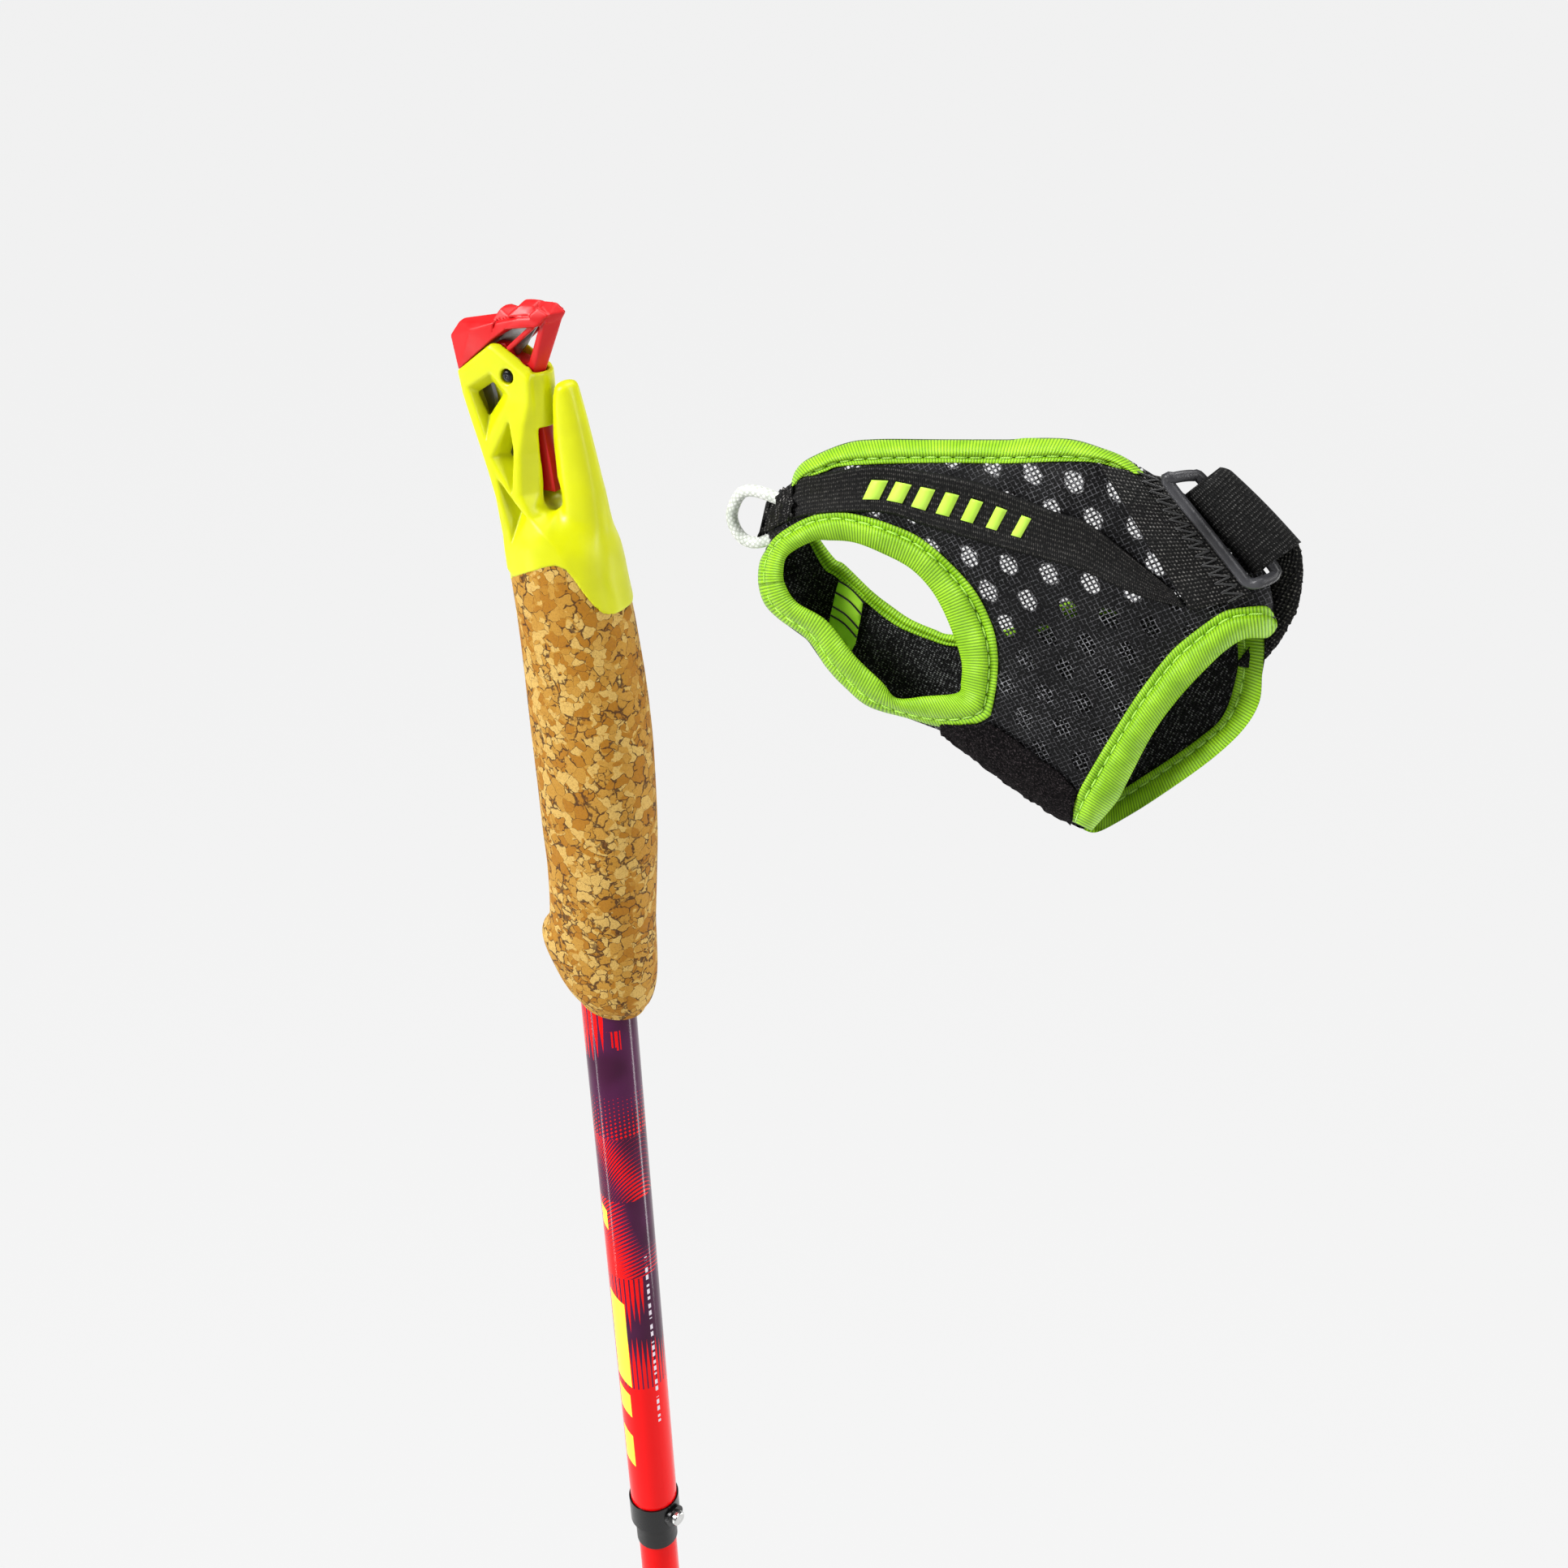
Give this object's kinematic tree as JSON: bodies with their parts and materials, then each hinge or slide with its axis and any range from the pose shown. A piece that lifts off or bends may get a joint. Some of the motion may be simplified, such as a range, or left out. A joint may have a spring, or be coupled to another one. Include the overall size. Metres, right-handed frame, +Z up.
{
  "type": "ski pole",
  "caption": "Folding ski pole: cork grip, openwork head with a release lever, printed shaft, push-button lock, plug-in sections, basket, and a separate click-in hand strap.",
  "frame": {"origin": "the point of the carbide tip", "axes": "+Z up the pole's axis, +X to the palm side of the grip, where the strap horn is, +Y along the lever pin"},
  "size_m": [0.2172, 0.0592, 1.2011],
  "materials": {
    "cork": "natural cork granulate, fine sanded",
    "neon_plastic": "satin moulded plastic",
    "red_plastic": "semi-gloss moulded plastic",
    "dark_steel": "blackened steel",
    "spring_steel": "spring steel",
    "bright_steel": "turned and polished",
    "printed_shaft": "gloss lacquer over a plum and red print",
    "black_metal": "gloss black anodised",
    "red_tube": "gloss red lacquer",
    "plum_tube": "gloss plum lacquer",
    "dark_metal": "dark anodised",
    "bare_aluminium": "turned aluminium",
    "black_plastic": "matt black plastic",
    "black_rubber": "matt rubber",
    "carbide": "ground carbide",
    "cord": "braided cord",
    "silver_cord": "braided silver-white cord",
    "strap_mesh": "spacer mesh",
    "strap_lining": "smooth lining with a hook-and-loop face",
    "strap_band": "coated woven band",
    "strap_tape": "ribbed webbing",
    "lime_binding": "ribbed binding tape",
    "fleece": "napped loop fabric"
  },
  "bodies": {
    "root": {"cork_grip": "cork", "grip_head": "neon_plastic", "lever_pin": "dark_steel", "lever_spring": "spring_steel", "upper_shaft": "printed_shaft", "shaft_plug": "black_plastic", "locking_collar": "black_metal", "wiper_seal": "black_rubber"},
    "lever": {"release_lever": "red_plastic"},
    "button": {"push_button": "bright_steel"},
    "extension": {"plunger_spring": "spring_steel", "extension_tube": "red_tube", "guide_bush": "black_plastic", "tension_cord": "cord", "upper_joint_socket": "dark_metal"},
    "plunger": {"lock_plunger": "bright_steel"},
    "middle": {"upper_joint_spigot": "bare_aluminium", "middle_tube": "plum_tube", "lower_joint_socket": "dark_metal"},
    "lower": {"lower_joint_spigot": "bare_aluminium", "lower_tube": "red_tube", "cord_anchor": "black_plastic", "flex_tip": "black_plastic", "basket": "black_plastic", "tip_insert": "carbide"},
    "strap": {"strap_front_panel": "strap_mesh", "strap_back_panel": "strap_lining", "strap_knuckle_band": "strap_band", "strap_tape_band": "strap_tape", "strap_top_binding": "lime_binding", "strap_thumb_binding": "lime_binding", "strap_wrist_binding": "lime_binding", "strap_loop_anchor": "strap_tape", "strap_loop": "silver_cord", "strap_gusset": "strap_lining", "strap_fleece": "fleece"},
    "closure": {"strap_webbing": "strap_tape", "ladder_ring": "black_plastic"}
  },
  "joints": [
    {"name": "lever_press", "type": "hinge", "parent": "root", "child": "lever", "pos_m": [-0.009, 0, 1.1829], "axis": [0, 1, 0], "range_deg": [0, 6], "stiffness_Nm_per_rad": 0.6, "springref_deg": -2.86, "deforming": ["lever_spring"]},
    {"name": "button_press", "type": "slide", "parent": "root", "child": "button", "axis": [-0.9848, 0.1736, 0], "range_m": [0, 0.002], "stiffness_N_per_m": 600, "springref_m": -0.001},
    {"name": "extension_slide", "type": "slide", "parent": "root", "child": "extension", "axis": [0, 0, 1], "range_m": [0, 0.06]},
    {"name": "plunger_press", "type": "slide", "parent": "extension", "child": "plunger", "axis": [-0.9848, 0.1736, 0], "range_m": [0, 0.002], "deforming": ["plunger_spring"]},
    {"name": "middle_pull", "type": "slide", "parent": "extension", "child": "middle", "axis": [0, 0, -1], "range_m": [0, 0.032], "stiffness_N_per_m": 60, "springref_m": -0.06},
    {"name": "lower_pull", "type": "slide", "parent": "middle", "child": "lower", "axis": [0, 0, -1], "range_m": [0, 0.032], "stiffness_N_per_m": 60, "springref_m": -0.06},
    {"name": "strap_reach", "type": "slide", "parent": "root", "child": "strap", "axis": [-1, 0, 0], "range_m": [0, 0.03]},
    {"name": "closure_swing", "type": "hinge", "parent": "strap", "child": "closure", "pos_m": [0.1555, -0.0031, 1.1805], "axis": [0.6823, 0, -0.7311], "range_deg": [0, 25]}
  ],
  "couplings": [
    {"joint": "plunger_press", "follows": "button_press", "ratio": 1}
  ]
}
